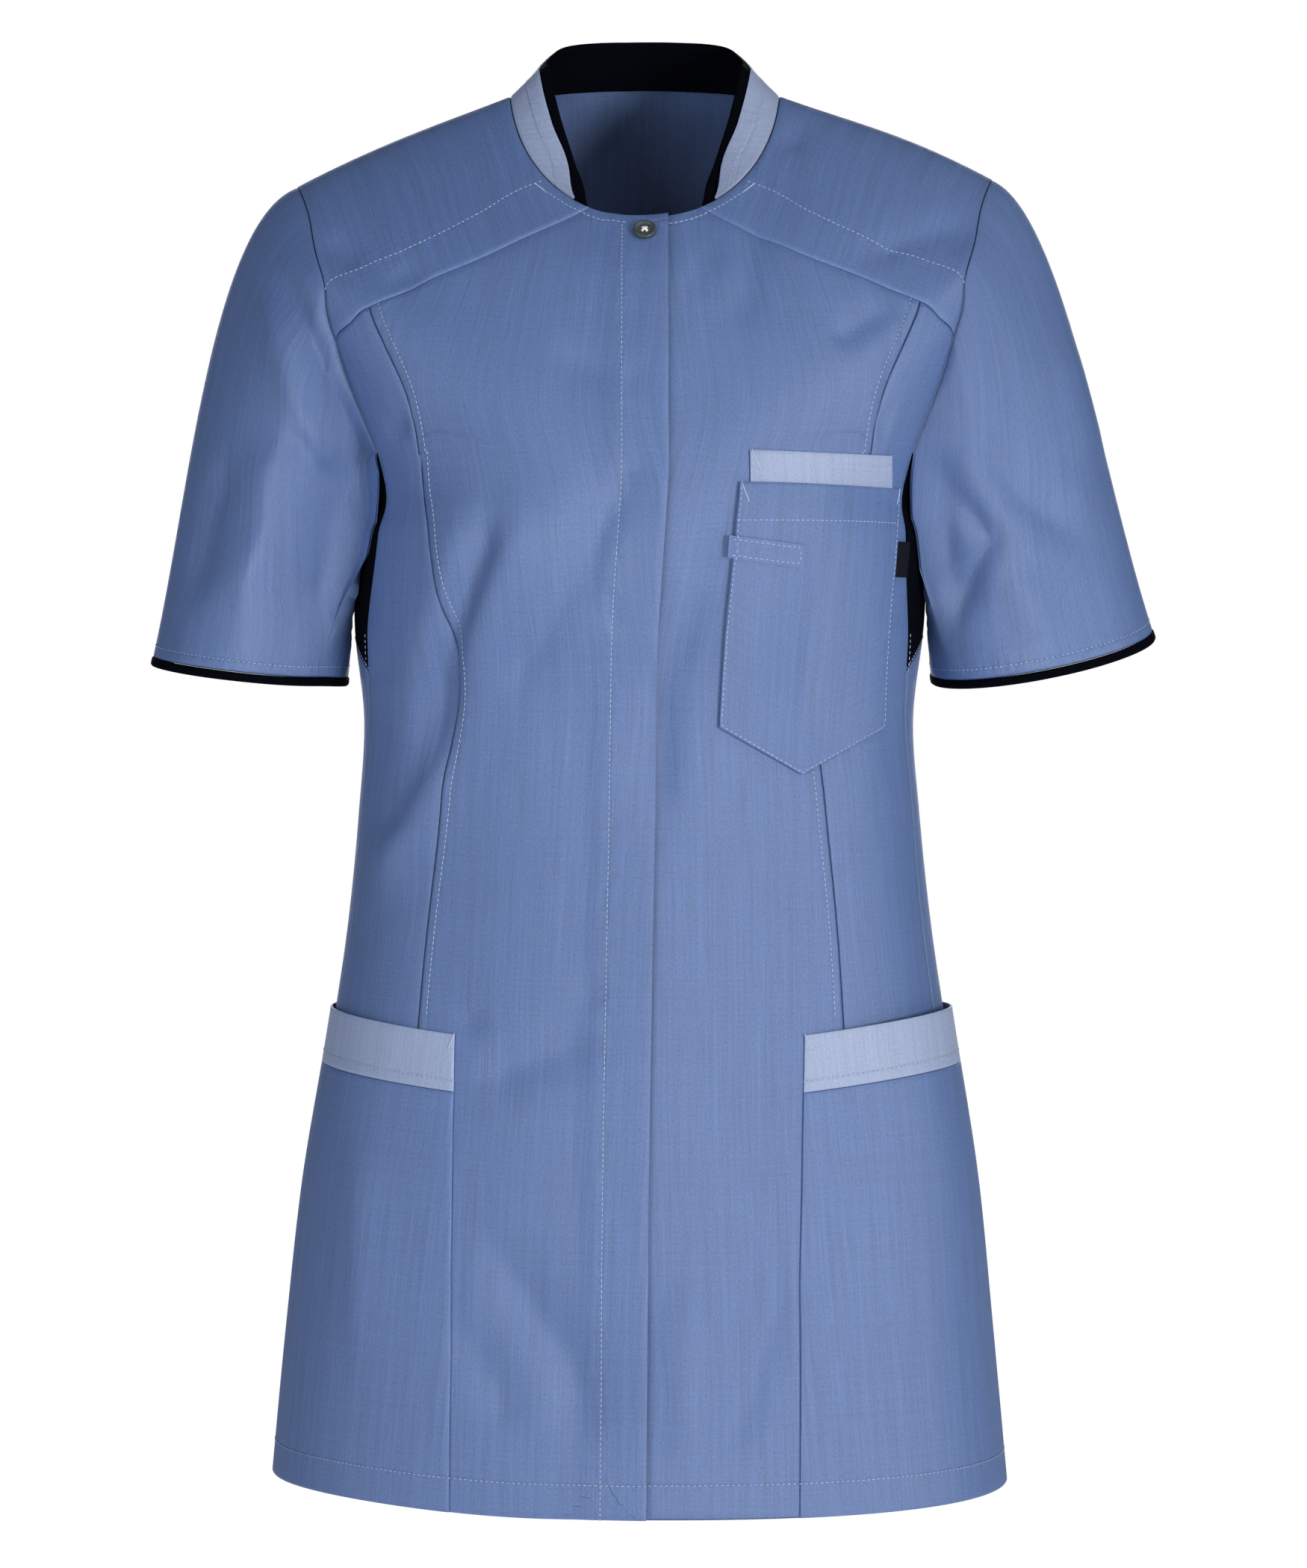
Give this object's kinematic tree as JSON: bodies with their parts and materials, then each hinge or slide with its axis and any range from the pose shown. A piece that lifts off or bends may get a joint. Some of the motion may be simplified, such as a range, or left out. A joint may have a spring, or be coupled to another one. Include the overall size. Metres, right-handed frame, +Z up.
{
  "type": "work shirt",
  "caption": "Short-sleeved hip-length work tunic with a stand collar, concealed front fly, chest pocket and two lower pockets, filled out as if worn.",
  "frame": {"origin": "between the neck points of the two shoulder seams, where the wearer's shoulders hold the garment up", "axes": "+X to the wearer's left, -Y out of the front, +Z up"},
  "size_m": [0.5574, 0.2689, 0.8135],
  "materials": {
    "blue_poplin": "matte",
    "pale_poplin": "matte",
    "navy_knit": "matte",
    "button": "satin"
  },
  "bodies": {
    "root": {"back": "blue_poplin", "chest_pocket": "blue_poplin", "chest_pocket_inner": "pale_poplin", "collar_band": "pale_poplin", "collar_lining": "navy_knit", "left_front": "blue_poplin", "left_gusset": "navy_knit", "left_pocket": "blue_poplin", "left_pocket_band": "pale_poplin", "left_side_front": "blue_poplin", "left_side_panel": "blue_poplin", "left_sleeve": "blue_poplin", "left_sleeve_binding": "navy_knit", "left_yoke": "blue_poplin", "neck_button": "button", "pen_loop": "blue_poplin", "pocket_tab": "navy_knit", "right_front": "blue_poplin", "right_gusset": "navy_knit", "right_pocket": "blue_poplin", "right_pocket_band": "pale_poplin", "right_side_front": "blue_poplin", "right_side_panel": "blue_poplin", "right_sleeve": "blue_poplin", "right_sleeve_binding": "navy_knit", "right_yoke": "blue_poplin"}
  },
  "joints": []
}
